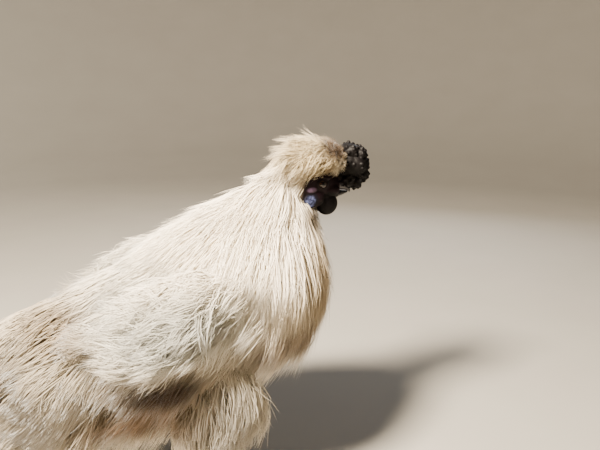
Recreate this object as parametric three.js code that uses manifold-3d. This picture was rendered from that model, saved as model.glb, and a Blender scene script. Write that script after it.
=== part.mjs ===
// A silkie rooster, life-size and still, standing tall on both feet with its neck up and its tail low.
// Millimetres, +X towards the beak, +Y to the bird's left, +Z up, feet on Z = 0.
// The body is cut into the pieces that a person would name, each a closed solid of its own.
// Nodes that carry plumage hold a core and flat, tapered locks that grow from it along the lie of the coat.

import * as THREE from "three";
import { mergeVertices } from "three/addons/utils/BufferGeometryUtils.js";
import Module from "manifold-3d";

const wasm = await Module();
wasm.setup();

// Driving sizes

const GAP = 0.3; // between pieces that meet
const SEED = 20; // of the small differences between one lock and the next
const LOCK_THICK = 3.4; // of a full lock at its ridge
const ROOT_DEPTH = 6; // of a lock's root inside its core
const STAGGER = 3.5; // every other lock of a tier stands this much higher, over its neighbours
const TINY = 0.05; // edges shorter than this are merged after a union

// Stations of the trunk, from the throat to the end of the tail's core. Each is a ring across the body:
// its top and low points as [x, z], and its half width.
const TRUNK = [
  { top: [32, 331], low: [80, 292], half: 25 },
  { top: [6, 318], low: [86, 258], half: 40 },
  { top: [-24, 303], low: [88, 220], half: 54 },
  { top: [-56, 286], low: [82, 184], half: 67 },
  { top: [-88, 269], low: [58, 152], half: 76 },
  { top: [-120, 250], low: [24, 134], half: 81 },
  { top: [-152, 234], low: [-24, 115], half: 80 },
  { top: [-186, 220], low: [-80, 93], half: 72 },
  { top: [-219, 208], low: [-138, 77], half: 59 },
  { top: [-250, 192], low: [-190, 71], half: 43 },
  { top: [-273, 168], low: [-230, 86], half: 24 },
];
const NECK_END = 2.6; // stations of the trunk where it is parted
const TORSO_END = 7.6;
const TAIL_END = 10;

// The head, from its back to the root of the beak.
const HEAD = [
  { top: [47, 325], low: [47, 303], half: 8 },
  { top: [54, 339], low: [54, 291], half: 17 },
  { top: [66, 345], low: [66, 287], half: 20 },
  { top: [80, 344], low: [80, 290], half: 19.5 },
  { top: [94, 337], low: [94, 294], half: 16 },
  { top: [105, 329], low: [105, 297], half: 11.5 },
  { top: [113, 321], low: [113, 300], half: 8 },
];
const BEAK_UPPER = [
  { top: [111, 321], low: [111, 308], half: 7.6 },
  { top: [118, 318.5], low: [118, 307.2], half: 6 },
  { top: [124, 314], low: [124, 306], half: 4 },
  { top: [129, 307], low: [128, 303.6], half: 1.2 },
];
const BEAK_LOWER = [
  { top: [111, 307.6], low: [111, 299], half: 7 },
  { top: [118, 306.8], low: [118, 301], half: 5.2 },
  { top: [125, 305.6], low: [125, 303.4], half: 2 },
];
const EYE = { at: [88, 17, 318], radius: 5 };
const COMB = {
  at: [134, 0, 335],
  half: [10, 14, 19],
  bulb: 8,
  bulbs: 16,
  furrow: { height: 0.15, reach: 0.12, depth: 3 },
  stem: { at: [113, 0, 334], half: [13, 11, 10] },
};
const LID = { half: [8.2, 3.4, 7.2], sink: 0.6 };
const NOSTRIL = { at: [117, 5.6, 313.6], half: [2, 1.4, 0.9] };
const WATTLE = { at: [97, 9.5, 294], half: [12.5, 6.6, 13] };
const EARLOBE = { at: [74, 18.5, 304], half: [5.6, 3.6, 8.4] };
const CREST = [
  { top: [38, 341], low: [46, 323], half: 12 },
  { top: [53, 353], low: [53, 325], half: 23 },
  { top: [71, 359], low: [71, 330], half: 26 },
  { top: [89, 359], low: [89, 332], half: 26 },
  { top: [104, 359], low: [102, 331], half: 22 },
  { top: [115, 352], low: [111, 329], half: 13 },
];

// A folded wing, from the shoulder to the back: side is how far the ring stands from the mid plane.
const WING = [
  { top: [-6, 232], low: [-6, 214], half: 4, side: 66 },
  { top: [-30, 246], low: [-30, 188], half: 13, side: 73 },
  { top: [-65, 250], low: [-65, 170], half: 17, side: 78 },
  { top: [-100, 240], low: [-100, 160], half: 16, side: 79 },
  { top: [-130, 226], low: [-130, 166], half: 12, side: 74 },
  { top: [-150, 210], low: [-150, 182], half: 6, side: 66 },
];

// A thigh with its fluff, from inside the flank down to the hock: top is its front, low its back.
const THIGH = [
  { top: [-8, 168], low: [-60, 168], half: 18, side: 50 },
  { top: [4, 142], low: [-76, 142], half: 32, side: 50 },
  { top: [8, 112], low: [-82, 112], half: 35, side: 50 },
  { top: [6, 86], low: [-84, 86], half: 33, side: 49 },
  { top: [-4, 65], low: [-78, 65], half: 27, side: 47 },
  { top: [-26, 48], low: [-64, 48], half: 14, side: 45 },
];

// A shank from the hock to the foot, and the toes: yaw is out from straight ahead, in degrees.
const SHANK = { hock: [-58, 60], foot: [-46, 9], side: 44, half: 6.4, scutes: 5, scute: 0.6 };
const TOES = [
  { name: "inner", yaw: -24, length: 46, radius: 5.2, lift: 0 },
  { name: "middle", yaw: 2, length: 56, radius: 5.6, lift: 0 },
  { name: "outer", yaw: 30, length: 46, radius: 5.2, lift: 0 },
  { name: "hind", yaw: 206, length: 24, radius: 4.8, lift: 0 },
  { name: "fifth", yaw: 176, length: 25, radius: 4.2, lift: 16 },
];
const CLAW = { length: 11, droop: 4 };
const FOOT_PAD = { half: [10, 9, 8], sink: 3 };
const TOE_RINGS = 4;
const TOE_TAPER = 0.32; // of its radius, from root to tip
const TOE_SINK = 0.72; // height of a toe's middle over the floor, as a share of its radius

// How finely each form is cut: rings along it and sides round it.
const CUTS = {
  head: [9, 16],
  beak_upper: [7, 10],
  beak_lower: [5, 10],
  neck: [4, 20],
  crest: [6, 12],
  torso: [7, 20],
  tail: [4, 18],
  wing: [5, 12],
  thigh: [5, 14],
  shank: [SHANK.scutes * 2, 8],
  toe: [TOE_RINGS, 8],
  claw: [2, 6],
};
const ROUND = { fine: [12, 8], plain: [10, 7], coarse: [6, 5] }; // ellipsoids: segments round and up

// Tiers of locks: the station, the range of turns in degrees, how many, and what each lock is like.
const HACKLE = [
  { u: 0.1, from: -150, to: 150, count: 7, length: 70, width: 34, rise: 15 },
  { u: 0.7, from: -180, to: 180, count: 9, length: 78, width: 36, rise: 16 },
  { u: 1.3, from: -180, to: 180, count: 10, length: 86, width: 40, rise: 16 },
  { u: 1.9, from: -180, to: 180, count: 11, length: 94, width: 43, rise: 16 },
];
const BODY_TIERS = [
  { u: 4.0, from: -45, to: 45, count: 3, length: 76, width: 40, rise: 11 },
  { u: 4.9, from: -48, to: 48, count: 4, length: 80, width: 34, rise: 12 },
  { u: 5.9, from: -46, to: 46, count: 3, length: 84, width: 42, rise: 13, droop: 4 },
  { u: 6.8, from: -72, to: 72, count: 5, length: 90, width: 38, rise: 14, droop: 9 },
  { u: 4.0, from: 112, to: 248, count: 6, length: 58, width: 36, rise: 11 },
  { u: 5.2, from: 160, to: 200, count: 2, length: 70, width: 34, rise: 11 },
  { u: 5.3, from: 100, to: 124, count: 1, length: 62, width: 38, rise: 11, droop: 8 },
  { u: 5.3, from: 236, to: 260, count: 1, length: 62, width: 38, rise: 11, droop: 8 },
  { u: 6.3, from: 140, to: 220, count: 3, length: 80, width: 42, rise: 12, droop: 12 },
  { u: 7.0, from: 98, to: 262, count: 6, length: 84, width: 36, rise: 13, droop: 18 },
];
const TAIL_TIERS = [
  { u: 8.0, from: -180, to: 180, count: 8, length: 80, width: 38, rise: 12, droop: 12 },
  { u: 8.8, from: -180, to: 180, count: 6, length: 78, width: 34, rise: 12, droop: 16 },
  { u: 9.5, from: -180, to: 180, count: 5, length: 68, width: 28, rise: 10, droop: 18 },
];
const WING_TIERS = [
  { u: 0.7, from: 35, to: 145, count: 3, length: 54, width: 28, rise: 8 },
  { u: 1.9, from: 25, to: 160, count: 4, length: 60, width: 26, rise: 8, heading: 6 },
  { u: 3.1, from: 25, to: 160, count: 4, length: 64, width: 24, rise: 8, heading: 6 },
  { u: 4.3, from: 35, to: 150, count: 3, length: 54, width: 19, rise: 6 },
];
const THIGH_TIERS = [
  { u: 1.2, from: -45, to: 225, count: 5, length: 54, width: 32, rise: 13 },
  { u: 2.2, from: -60, to: 240, count: 6, length: 52, width: 30, rise: 13 },
  { u: 3.2, from: -65, to: 245, count: 5, length: 50, width: 28, rise: 12 },
];
const SHANK_TIERS = [
  { u: 3, from: 35, to: 145, count: 2, length: 34, width: 14, rise: 13, thick: 1.6, floor: 2 },
  { u: 7, from: 25, to: 155, count: 3, length: 32, width: 12, rise: 16, thick: 1.6, floor: 2 },
];
const CREST_TIERS = [
  { u: 4.5, from: -70, to: 70, count: 4, length: 44, width: 17, rise: 9, heading: 180, thick: 2.6 },
  { u: 3.6, from: -95, to: 95, count: 4, length: 46, width: 27, rise: 10, heading: 180, thick: 2.6 },
  { u: 2.6, from: -105, to: 105, count: 4, length: 46, width: 30, rise: 11, heading: 180, thick: 2.6 },
  { u: 1.5, from: -110, to: 110, count: 4, length: 42, width: 27, rise: 12, heading: 180, thick: 2.6 },
];

// Helpers: numbers

const radians = THREE.MathUtils.degToRad;
const lerp = THREE.MathUtils.lerp;
let state = SEED;

// A seeded draw from -1 to 1.
function draw() {
  state = (state * 1664525 + 1013904223) >>> 0;
  return (state / 4294967296) * 2 - 1;
}

// A smooth curve through rows of numbers, straight on past its ends.
function between(rows, u) {
  const last = rows.length - 1;
  const i = Math.min(Math.max(Math.floor(u), 0), last - 1);
  const t = u - i;
  return rows[i].map((b, k) => {
    const c = rows[i + 1][k];
    if (t < 0 || t > 1) return lerp(b, c, t);
    const a = i > 0 ? rows[i - 1][k] : 2 * b - c;
    const d = i < last - 1 ? rows[i + 2][k] : 2 * c - b;
    const bend = [c - a, 2 * a - 5 * b + 4 * c - d, 3 * b - 3 * c + d - a];
    return b + 0.5 * t * (bend[0] + t * (bend[1] + t * bend[2]));
  });
}

// Helpers: solids

function solidOf(geometry) {
  const bare = geometry.index ? geometry.toNonIndexed() : geometry.clone();
  bare.deleteAttribute("normal");
  bare.deleteAttribute("uv");
  const merged = mergeVertices(bare, 1e-4);
  return new wasm.Manifold(
    new wasm.Mesh({
      numProp: 3,
      vertProperties: new Float32Array(merged.attributes.position.array),
      triVerts: new Uint32Array(merged.index.array),
    }),
  );
}

function geometryOf(solid) {
  const mesh = solid.getMesh();
  const geometry = new THREE.BufferGeometry();
  geometry.setAttribute("position", new THREE.BufferAttribute(mesh.vertProperties, 3));
  geometry.setIndex(new THREE.BufferAttribute(mesh.triVerts, 1));
  return geometry;
}

// The largest closed surface: a cavity that the union seals is filled, and a loose scrap is dropped.
function largest(solid) {
  const bodies = solid.decompose();
  return bodies.reduce((best, body) => (body.volume() > best.volume() ? body : best));
}

// One solid from rings of points, closed by a flat face at its first ring and by a point or a face at
// its last. leans says which way each side's quads are split, so that thin pieces are split alike
// wherever they bend.
const EVEN_LEANS = (rings) => rings[0].map((point, side) => side % 2 === 1);
function loft(rings, tip, leans = EVEN_LEANS(rings)) {
  const sides = rings[0].length;
  const points = rings.flat();
  const faces = [];
  const at = (ring, side) => ring * sides + (side % sides);
  for (let ring = 0; ring + 1 < rings.length; ring++)
    for (let side = 0; side < sides; side++) {
      const [a, b] = [at(ring, side), at(ring, side + 1)];
      const [d, c] = [at(ring + 1, side), at(ring + 1, side + 1)];
      if (leans[side]) faces.push(a, b, d, b, c, d);
      else faces.push(a, b, c, a, c, d);
    }
  const end = rings.length - 1;
  const centre = (ring) => ring.reduce((sum, p) => sum.clone().add(p)).divideScalar(sides);
  points.push(centre(rings[0]), tip ?? centre(rings[end]));
  for (let side = 0; side < sides; side++) {
    faces.push(at(0, side + 1), at(0, side), points.length - 2);
    faces.push(at(end, side), at(end, side + 1), points.length - 1);
  }
  const geometry = new THREE.BufferGeometry().setFromPoints(points);
  geometry.setIndex(faces);
  const made = solidOf(geometry);
  if (made.volume() > 0) return made;
  for (let i = 0; i < faces.length; i += 3) [faces[i + 1], faces[i + 2]] = [faces[i + 2], faces[i + 1]];
  geometry.setIndex(faces);
  return solidOf(geometry);
}

// A form through stations. turn is 0 at the top of a ring and a quarter turn at its +Y side.
function form(stations, mirrored = 1) {
  const rows = stations.map(({ top, low, half, side = 0 }) => [...top, ...low, half, side * mirrored]);
  const point = (u, turn) => {
    const [topX, topZ, lowX, lowZ, half, side] = between(rows, u);
    const share = (1 + Math.cos(turn)) / 2;
    const y = side + Math.max(half, 0.2) * Math.sin(turn);
    return new THREE.Vector3(lerp(lowX, topX, share), y, lerp(lowZ, topZ, share));
  };
  const middle = (u) => point(u, 0).add(point(u, Math.PI)).multiplyScalar(0.5);
  // A point of the surface, with its outward normal and its unit steps along and round the form.
  const frame = (u, turn) => {
    const small = 0.02;
    const at = point(u, turn);
    const along = point(u + small, turn).sub(point(u - small, turn)).divideScalar(2 * small);
    const round = point(u, turn + small).sub(point(u, turn - small)).divideScalar(2 * small);
    const normal = along.clone().cross(round).normalize();
    if (normal.dot(at.clone().sub(middle(u))) < 0) normal.negate();
    return { at, normal, along, round };
  };
  return { rows, point, middle, frame };
}

// The skin of a form between two stations, pushed out by grow.
function shell(shape, from, to, [rings, sides], grow = 0) {
  const list = [];
  for (let i = 0; i <= rings; i++) {
    const u = lerp(from, to, i / rings);
    const ring = [];
    for (let side = 0; side < sides; side++) {
      const { at, normal } = shape.frame(u, (side / sides) * 2 * Math.PI);
      ring.push(at.addScaledVector(normal, grow));
    }
    list.push(ring);
  }
  const ahead = shape.middle(to).sub(shape.middle(to - 0.05)).normalize();
  const behind = shape.middle(from).sub(shape.middle(from + 0.05)).normalize();
  list[0].forEach((p) => p.addScaledVector(behind, grow));
  list[rings].forEach((p) => p.addScaledVector(ahead, grow));
  return loft(list);
}

// An ellipsoid, from the sphere class.
function ellipsoid([x, y, z], [halfX, halfY, halfZ], [wide, high], grow = 0) {
  const ball = new THREE.SphereGeometry(1, wide, high);
  ball.rotateX(Math.PI / 2).scale(halfX + grow, halfY + grow, halfZ + grow);
  return solidOf(ball.translate(x, y, z));
}

// Helpers: plumage

// The rings of a lock: how far along it each stands, and its share of the full half width and thickness.
const LOCK_RINGS = [
  { t: 0, wide: 0.5, thick: 0.9 },
  { t: 0.35, wide: 1, thick: 1 },
  { t: 0.7, wide: 0.8, thick: 0.75 },
];
const WALK = 20; // steps of a lock's way over the surface
const CLIMB = 0.8; // power of a lock's rise: near 1, so that each tier stays over the next one

// The line that a lock follows: it leaves its root inside the form, rises to its height over the surface,
// keeps to its heading, hangs a little and goes straight on past the form's end. heading is in degrees from
// the way that the form runs.
function wayOf(shape, u, turn, { length, rise, heading = 0, bend = 0, droop = 0, floor = -Infinity }) {
  const step = length / WALK;
  const points = [];
  let spot = shape.frame(u, turn);
  let way = spot.along;
  for (let i = 0; i <= WALK; i++) {
    const t = i / WALK;
    const p = spot.at.clone().addScaledVector(spot.normal, lerp(-ROOT_DEPTH, rise, t ** CLIMB));
    p.z = Math.max(p.z - droop * t * t, floor);
    points.push({ p, n: spot.normal });
    if (u >= 0 && u < shape.rows.length - 1) {
      const angle = radians(heading + bend * t);
      const ahead = spot.along.clone().normalize();
      const slant = spot.round.dot(ahead);
      const across = spot.round.clone().addScaledVector(ahead, -slant);
      const turned = (Math.sin(angle) * step) / across.length();
      way = ahead.multiplyScalar(Math.cos(angle)).addScaledVector(across.normalize(), Math.sin(angle));
      turn += turned;
      u += (Math.cos(angle) * step - turned * slant) / spot.along.length();
      spot = shape.frame(u, turn);
    } else spot = { ...spot, at: spot.at.clone().addScaledVector(way, step) };
  }
  return points;
}

// One flat, tapered lock along its way, with a ridge down its middle. A grown lock has blunt edges.
const LOCK_LEANS = [false, true, false, false, false];
function lockSolid({ points, width, thick }, grow) {
  const pick = (t) => points[Math.round(t * WALK)];
  const rings = LOCK_RINGS.map((ring) => {
    const { p, n } = pick(ring.t);
    const next = pick(Math.min(ring.t + 0.1, 1)).p;
    const back = pick(Math.max(ring.t - 0.1, 0)).p;
    const ahead = next.clone().sub(back).normalize();
    const side = ahead.clone().cross(n).normalize();
    const up = side.clone().cross(ahead).normalize();
    const wide = (width / 2) * ring.wide + grow;
    const high = thick * ring.thick + grow;
    const corner = (out, above) => p.clone().addScaledVector(side, out).addScaledVector(up, above);
    const roof = [corner(wide, grow), corner(0, high), corner(-wide, grow)];
    return grow > 0 ? [...roof, corner(-wide, -grow), corner(wide, -grow)] : roof;
  });
  const last = points[WALK].p;
  const tip = last.clone().addScaledVector(last.clone().sub(points[WALK - 2].p).normalize(), 3 * grow);
  return loft(rings, tip, LOCK_LEANS);
}

// Tiers of locks on a form. Each tier stands at a station and covers a range of turns, in degrees,
// as even locks that differ a little in length, width, heading and bend.
function coatOf(shape, tiers, sign = 1) {
  return tiers.flatMap(({ u, from, to, count, width, thick = LOCK_THICK, ...kind }) => {
    const list = [];
    for (let i = 0; i < count; i++) {
      const share = (i + 0.5) / count;
      const turn = lerp(from, to, share) + (draw() * 0.18 * (to - from)) / count;
      const varied = {
        ...kind,
        length: kind.length * (1 + 0.13 * draw()),
        rise: kind.rise + (i % 2 ? STAGGER : 0),
        heading: sign * ((kind.heading ?? 0) + 3 * draw()),
        bend: 8 * draw(),
      };
      const points = wayOf(shape, u + 0.05 * draw(), sign * radians(turn), varied);
      list.push({ points, width: width * (1 + 0.06 * draw()), thick });
    }
    return list;
  });
}

// Finishes

const finishes = {
  plumage: new THREE.MeshStandardMaterial({ color: 0xe9dfc8, roughness: 0.85 }),
  crest: new THREE.MeshStandardMaterial({ color: 0xcdb98f, roughness: 0.85 }),
  face: new THREE.MeshStandardMaterial({ color: 0x2a1c22, roughness: 0.5 }),
  comb: new THREE.MeshStandardMaterial({ color: 0x140e0c, roughness: 0.45 }),
  earlobe: new THREE.MeshStandardMaterial({ color: 0x6f7690, roughness: 0.4 }),
  beak: new THREE.MeshStandardMaterial({ color: 0x2c2a2c, roughness: 0.4 }),
  eye: new THREE.MeshStandardMaterial({ color: 0x0c0806, roughness: 0.1 }),
  leg: new THREE.MeshStandardMaterial({ color: 0x3a3b42, roughness: 0.6 }),
  claw: new THREE.MeshStandardMaterial({ color: 0x6d675c, roughness: 0.5 }),
};

// The pieces, each kept as it is made, so that the next one can be cut clear of it

const made = new Map();
const union = (list) => wasm.Manifold.union(list);
const mirror = ([x, y, z], sign) => [x, y * sign, z];
const bothSides = [
  { word: "right", sign: -1 },
  { word: "left", sign: 1 },
];

// Keeps a piece, cut clear of what is already there. grown is the same piece a gap larger, for the next cuts.
function add(name, finish, build, near = []) {
  let solid = build(0);
  for (const other of near) solid = solid.subtract(made.get(other).grown);
  solid = largest(solid.simplify(TINY));
  made.set(name, { solid, finish, grown: largest(build(GAP)) });
}

// Head, eyes, beak, comb, wattles and earlobes

const headForm = form(HEAD);
const wholeOf = (shape, cut, grow) => shell(shape, 0, shape.rows.length - 1, CUTS[cut], grow);
for (const { word, sign } of bothSides) {
  const half = Array(3).fill(EYE.radius);
  add("eye_" + word, "eye", (grow) => ellipsoid(mirror(EYE.at, sign), half, ROUND.fine, grow));
}

// The lids are a low swelling round each eye.
const lidOf = (sign, grow) => {
  const [x, y, z] = EYE.at;
  return ellipsoid([x, sign * (y - LID.sink), z], LID.half, ROUND.fine, grow);
};
const headOf = (grow) => union([wholeOf(headForm, "head", grow), lidOf(-1, grow), lidOf(1, grow)]);
add("head", "face", headOf, ["eye_right", "eye_left"]);

const nostrilOf = ({ sign }) => ellipsoid(mirror(NOSTRIL.at, sign), NOSTRIL.half, ROUND.coarse);
const nostrils = union(bothSides.map(nostrilOf));
const upperOf = (grow) => wholeOf(form(BEAK_UPPER), "beak_upper", grow).subtract(nostrils);
add("beak_upper", "beak", upperOf, ["head"]);
const lowerOf = (grow) => wholeOf(form(BEAK_LOWER), "beak_lower", grow);
add("beak_lower", "beak", lowerOf, ["head", "beak_upper"]);

// The comb is a walnut: a round body covered in small bulbs, with a furrow across its middle.
function combOf(grow) {
  const parts = [
    ellipsoid(COMB.at, COMB.half, ROUND.plain, grow),
    ellipsoid(COMB.stem.at, COMB.stem.half, ROUND.plain, grow),
  ];
  const golden = Math.PI * (3 - Math.sqrt(5));
  for (let i = 0; i < COMB.bulbs; i++) {
    const high = 1 - (2 * (i + 0.5)) / COMB.bulbs;
    const ring = Math.sqrt(1 - high * high);
    const way = [ring * Math.cos(golden * i), ring * Math.sin(golden * i), high];
    const inFurrow = Math.abs(high - COMB.furrow.height) < COMB.furrow.reach;
    const deep = inFurrow ? COMB.furrow.depth : 0;
    const at = COMB.at.map((c, k) => c + way[k] * (COMB.half[k] - deep));
    const r = COMB.bulb * (0.85 + 0.2 * Math.sin(i * 2.4));
    parts.push(ellipsoid(at, [r, r, r], ROUND.coarse, grow));
  }
  return union(parts);
}
add("comb", "comb", combOf, ["head", "beak_upper", "beak_lower"]);

const trunk = form(TRUNK);
const neckCore = (grow) => shell(trunk, 0, NECK_END, CUTS.neck, grow);
for (const { word, sign } of bothSides) {
  const hung = ({ at, half }, round) => (grow) =>
    ellipsoid(mirror(at, sign), half, round, grow).subtract(neckCore(GAP));
  add("wattle_" + word, "face", hung(WATTLE, ROUND.fine), ["head", "beak_lower", "beak_upper"]);
  add("earlobe_" + word, "earlobe", hung(EARLOBE, ROUND.plain), ["head"]);
}
const face = ["head", "beak_upper", "beak_lower", "comb", "wattle_right", "wattle_left"];
face.push("earlobe_right", "earlobe_left", "eye_right", "eye_left");

// Neck with its cape of hackle, crest, torso and tail

function plumed(core, coat) {
  return (grow) => union([core(grow), ...coat.map((one) => lockSolid(one, grow))]);
}
add("neck", "plumage", plumed(neckCore, coatOf(trunk, HACKLE)), face);
const crestForm = form(CREST);
const crestCore = (grow) => wholeOf(crestForm, "crest", grow);
add("crest", "crest", plumed(crestCore, coatOf(crestForm, CREST_TIERS)), [...face, "neck"]);
const torsoCore = (grow) => shell(trunk, NECK_END, TORSO_END, CUTS.torso, grow);
add("torso", "plumage", plumed(torsoCore, coatOf(trunk, BODY_TIERS)), ["neck", "crest"]);
const tailCore = (grow) => shell(trunk, TORSO_END, TAIL_END, CUTS.tail, grow);
add("tail", "plumage", plumed(tailCore, coatOf(trunk, TAIL_TIERS)), ["torso"]);

// Wings, thighs and feet

for (const { word, sign } of bothSides) {
  const wingForm = form(WING, sign);
  const wing = plumed((grow) => wholeOf(wingForm, "wing", grow), coatOf(wingForm, WING_TIERS, sign));
  add("wing_" + word, "plumage", wing, ["torso", "neck", "tail"]);
  const thighForm = form(THIGH, sign);
  const thigh = plumed((grow) => wholeOf(thighForm, "thigh", grow), coatOf(thighForm, THIGH_TIERS, sign));
  add("thigh_" + word, "plumage", thigh, ["torso", "wing_" + word, "tail"]);
}

// A shank's rings step in and out, so that its scutes show as bands.
function shankForm(sign) {
  const count = SHANK.scutes * 2;
  const rows = [];
  for (let i = 0; i <= count; i++) {
    const r = SHANK.half + (i % 2 ? SHANK.scute : 0);
    const x = lerp(SHANK.hock[0], SHANK.foot[0], i / count);
    const z = lerp(SHANK.hock[1], SHANK.foot[1], i / count);
    rows.push({ top: [x + r + 1, z], low: [x - r, z], half: r - 0.4, side: SHANK.side });
  }
  return form(rows, sign);
}

// A toe points along +X from the foot, with a swelling at each joint.
function toeRows(toe) {
  const rows = [];
  for (let i = 0; i <= TOE_RINGS; i++) {
    const t = i / TOE_RINGS;
    const r = toe.radius * (1 - TOE_TAPER * t) * (i % 2 ? 1.1 : 0.96);
    const z = toe.lift + r * TOE_SINK + toe.lift * t * 0.45;
    rows.push({ top: [toe.length * t, z + r], low: [toe.length * t, z - r], half: r });
  }
  return rows;
}

function clawRows(toe) {
  const end = toeRows(toe)[TOE_RINGS];
  const mid = (end.top[1] + end.low[1]) / 2;
  return [0, 0.5, 1].map((t) => {
    const r = end.half * lerp(0.62, 0.1, t);
    const x = toe.length + GAP + CLAW.length * t;
    const z = lerp(mid, Math.max(mid - CLAW.droop, 0.8), t * t);
    return { top: [x, z + r], low: [x, z - r], half: r * 0.8 };
  });
}

for (const { word, sign } of bothSides) {
  const [footX, footZ] = SHANK.foot;
  const footY = SHANK.side * sign;
  const place = (solid, yaw) => solid.rotate([0, 0, yaw * sign]).translate([footX, footY, 0]);
  const shank = shankForm(sign);
  const feathers = coatOf(shank, SHANK_TIERS, sign);
  const foot = (grow) => {
    const parts = [
      wholeOf(shank, "shank", grow),
      ellipsoid([footX, footY, footZ - FOOT_PAD.sink], FOOT_PAD.half, ROUND.plain, grow),
      ...TOES.map((toe) => place(wholeOf(form(toeRows(toe)), "toe", grow), toe.yaw)),
      ...feathers.map((one) => lockSolid(one, grow)),
    ];
    return union(parts).trimByPlane([0, 0, 1], 0);
  };
  add("foot_" + word, "leg", foot, ["thigh_" + word]);
  for (const toe of TOES) {
    const whole = (grow) => place(wholeOf(form(clawRows(toe)), "claw", grow), toe.yaw);
    const claw = (grow) => whole(grow).trimByPlane([0, 0, 1], 0);
    add("claw_" + word + "_" + toe.name, "claw", claw, ["foot_" + word]);
  }
}

// The group, moved so that its origin is on the floor under the middle of its box

const boxes = [...made.values()].map(({ solid }) => solid.boundingBox());
const low = [0, 1, 2].map((k) => Math.min(...boxes.map((b) => b.min[k])));
const high = [0, 1, 2].map((k) => Math.max(...boxes.map((b) => b.max[k])));
const rooster = new THREE.Group();
rooster.position.set(-(low[0] + high[0]) / 2, -(low[1] + high[1]) / 2, -low[2]);
for (const [name, { solid, finish }] of made) {
  const mesh = new THREE.Mesh(geometryOf(solid), finishes[finish]);
  mesh.name = name;
  rooster.add(mesh);
}

export default rooster;
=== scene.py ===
# %% [markdown]
# # A silkie rooster and its silky plumage
# The solid model gives every part of the bird its place: head, comb, neck, wings, thighs and feet.
# This lesson dresses it. One skin goes over the flesh, and some eighty thousand fine strands go over
# the skin. A silkie's feathers have no hooks to hold their barbs together, so its coat looks like fur,
# and it can be modelled as tapered strands gathered into locks.

# %% Load the frame
import math

import bmesh
import bpy
import numpy as np
from mathutils import Euler, Matrix, Vector


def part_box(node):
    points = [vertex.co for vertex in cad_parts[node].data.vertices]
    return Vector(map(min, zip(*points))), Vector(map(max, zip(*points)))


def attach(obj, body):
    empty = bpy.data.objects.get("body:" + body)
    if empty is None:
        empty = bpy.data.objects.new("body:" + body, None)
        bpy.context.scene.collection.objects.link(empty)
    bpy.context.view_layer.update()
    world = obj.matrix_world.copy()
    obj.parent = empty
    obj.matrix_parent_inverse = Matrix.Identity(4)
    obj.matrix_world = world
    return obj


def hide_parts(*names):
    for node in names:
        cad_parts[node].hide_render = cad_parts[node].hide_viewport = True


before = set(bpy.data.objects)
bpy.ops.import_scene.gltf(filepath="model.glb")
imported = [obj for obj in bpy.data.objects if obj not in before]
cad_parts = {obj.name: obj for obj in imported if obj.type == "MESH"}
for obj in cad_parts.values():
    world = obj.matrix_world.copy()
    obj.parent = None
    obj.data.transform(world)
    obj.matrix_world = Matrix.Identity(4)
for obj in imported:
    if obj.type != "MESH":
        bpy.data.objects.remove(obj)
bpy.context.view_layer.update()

# %% [markdown]
# ## One place to measure from
# All sizes below are the rooster's own millimetres, with X towards the beak, Y to its left and Z up.
# The solid model has its origin under the middle of its box, so the two differ by a plain shift.
# The left eye's middle is known in both, and the shift follows from it.

# %% Millimetres to the frame
MM = 0.001
EYE = np.array([88.0, 17.0, 318.0])
EYE_RADIUS = 5.0

eye_low, eye_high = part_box("eye_left")
SHIFT = np.array((eye_low + eye_high) / 2) - EYE * MM


def place(points):
    """Points in the rooster's millimetres, as metres in the frame."""
    return np.asarray(points, float) * MM + SHIFT


print("shift in mm:", np.round(SHIFT / MM, 2))

# %% [markdown]
# ## The camera comes first
# The photograph was taken from the bird's right, a little behind it and above it. The head's known
# length fixed the distance: about 65 cm from the eye. Knowing the view early is useful, because it
# tells how fine a strand has to be: one pixel is about a millimetre on the bird.

# %% Camera
AZIMUTH = math.radians(-20)
ELEVATION = math.radians(14)
CAMERA_AT = [-153.6, -611.6, 432.5]
FOCAL_PIXELS = 605.0
IMAGE_WIDTH = 600.0

camera_data = bpy.data.cameras.new("camera")
camera_data.sensor_width = 36.0
camera_data.lens = FOCAL_PIXELS / IMAGE_WIDTH * camera_data.sensor_width
camera = bpy.data.objects.new("camera", camera_data)
bpy.context.scene.collection.objects.link(camera)
camera.location = Vector(place(CAMERA_AT))
camera.rotation_euler = Euler((math.pi / 2 - ELEVATION, 0.0, AZIMUTH))
bpy.context.scene.camera = camera
print("lens:", round(camera_data.lens, 1), "mm")

# %% [markdown]
# ## A soft studio
# Pale plumage needs light from one side: then each lock has a bright and a shaded flank, and the coat
# reads as deep. A soft lamp to the upper left does that, a weak one opposite keeps the other side
# readable, a third lights the backdrop, and a dim sky lifts the shadows. The floor is plain and curves
# up into a round wall, so no edge shows behind the bird.

# %% Colours, floor and lamps


def linear(code):
    """An sRGB hex colour as linear red, green, blue and alpha."""
    parts = [int(code[i : i + 2], 16) / 255 for i in (1, 3, 5)]
    return [p / 12.92 if p <= 0.04045 else ((p + 0.055) / 1.055) ** 2.4 for p in parts] + [1.0]


def add(tree, kind, settings=None, **links):
    """Adds a node. settings are its own options; links name its inputs, as values or other sockets."""
    node = tree.nodes.new(kind)
    for key, value in (settings or {}).items():
        setattr(node, key, value)
    for key, value in links.items():
        socket = node.inputs[int(key[1:])] if key[1:].isdigit() else node.inputs[key.replace("_", " ")]
        if isinstance(value, bpy.types.NodeSocket):
            tree.links.new(value, socket)
        else:
            socket.default_value = value
    return node


def mix_colour(tree, amount, first, second):
    """A blend of two colours, each a hex code or another node's colour."""
    first, second = [linear(c) if isinstance(c, str) else c for c in (first, second)]
    return add(tree, "ShaderNodeMix", {"data_type": "RGBA"}, _0=amount, _6=first, _7=second).outputs[2]


def noise(tree, at, size, detail, **more):
    """Soft clouds from 0 to 1, each about size millimetres wide."""
    cloud = add(tree, "ShaderNodeTexNoise", Vector=at, Scale=1 / (size * MM), Detail=detail, **more)
    return cloud.outputs["Fac"]


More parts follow.
